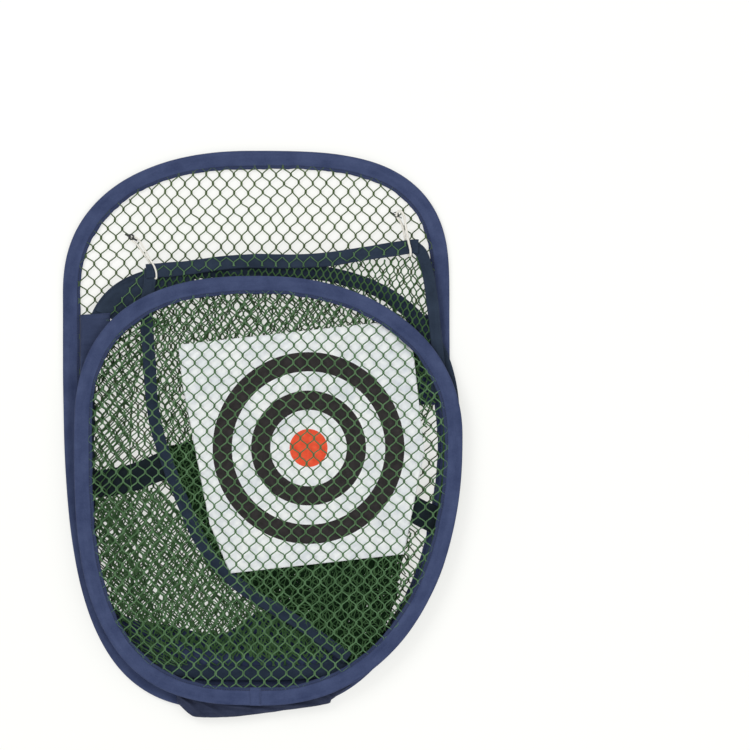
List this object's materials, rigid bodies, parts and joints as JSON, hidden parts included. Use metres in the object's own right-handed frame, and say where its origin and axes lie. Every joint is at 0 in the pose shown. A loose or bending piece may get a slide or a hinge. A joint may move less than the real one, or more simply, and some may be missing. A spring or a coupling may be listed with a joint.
{
  "type": "golf chipping net",
  "caption": "Pop-up chipping net folded flat: a tall and a shorter fabric-covered hoop with nets across them, hinged at the bottom, and a hung target sheet between.",
  "frame": {"origin": "middle of the folded net's bounding box, at the face that it lies on", "axes": "+X to the net's right, +Y to the top of the tall hoop, +Z from the rear panel to the front panel"},
  "size_m": [0.568, 0.807, 0.029],
  "materials": {
    "spring_steel": "satin",
    "clip_steel": "satin",
    "sleeve_fabric": "matt",
    "band_fabric": "matt",
    "net": "matt",
    "target": "matt",
    "elastic": "matt",
    "knot_thread": "matt"
  },
  "bodies": {
    "rear_panel": {"rear_hoop_strip": "spring_steel", "rear_hoop_clip": "clip_steel", "rear_sleeve": "sleeve_fabric", "rear_net": "net", "lower_wall": "sleeve_fabric", "right_wall": "sleeve_fabric", "bottom_wall": "sleeve_fabric", "third_hoop_strip": "spring_steel", "third_hoop_clip": "clip_steel", "third_sleeve": "band_fabric", "third_net": "net", "cross_band": "band_fabric", "elastic_loop_left": "elastic", "elastic_loop_right": "elastic", "loop_knots": "knot_thread", "bottom_flap": "sleeve_fabric"},
    "front_panel": {"front_hoop_strip": "spring_steel", "front_hoop_clip": "clip_steel", "front_sleeve": "sleeve_fabric", "front_sleeve_overlap": "sleeve_fabric", "front_net": "net", "left_side_net": "net", "right_side_net": "net"},
    "pocket": {"top_band": "band_fabric", "left_strap": "band_fabric", "right_strap": "band_fabric", "pocket_net": "net", "target_sheet": "target"}
  },
  "joints": [
    {"name": "unfold", "type": "hinge", "parent": "rear_panel", "child": "front_panel", "pos_m": [0, -0.3855, 0.014], "axis": [1, 0, 0], "range_deg": [0, 90], "deforming": ["left_side_net", "right_side_net", "bottom_flap"]},
    {"name": "pocket_swing", "type": "hinge", "parent": "rear_panel", "child": "pocket", "pos_m": [-0.1605, 0.231, 0.0166], "axis": [-0.9954, -0.0961, 0], "range_deg": [0, 8], "deforming": ["elastic_loop_left", "elastic_loop_right"]}
  ],
  "couplings": [
    {"joint": "pocket_swing", "follows": "unfold", "ratio": 0.088}
  ]
}
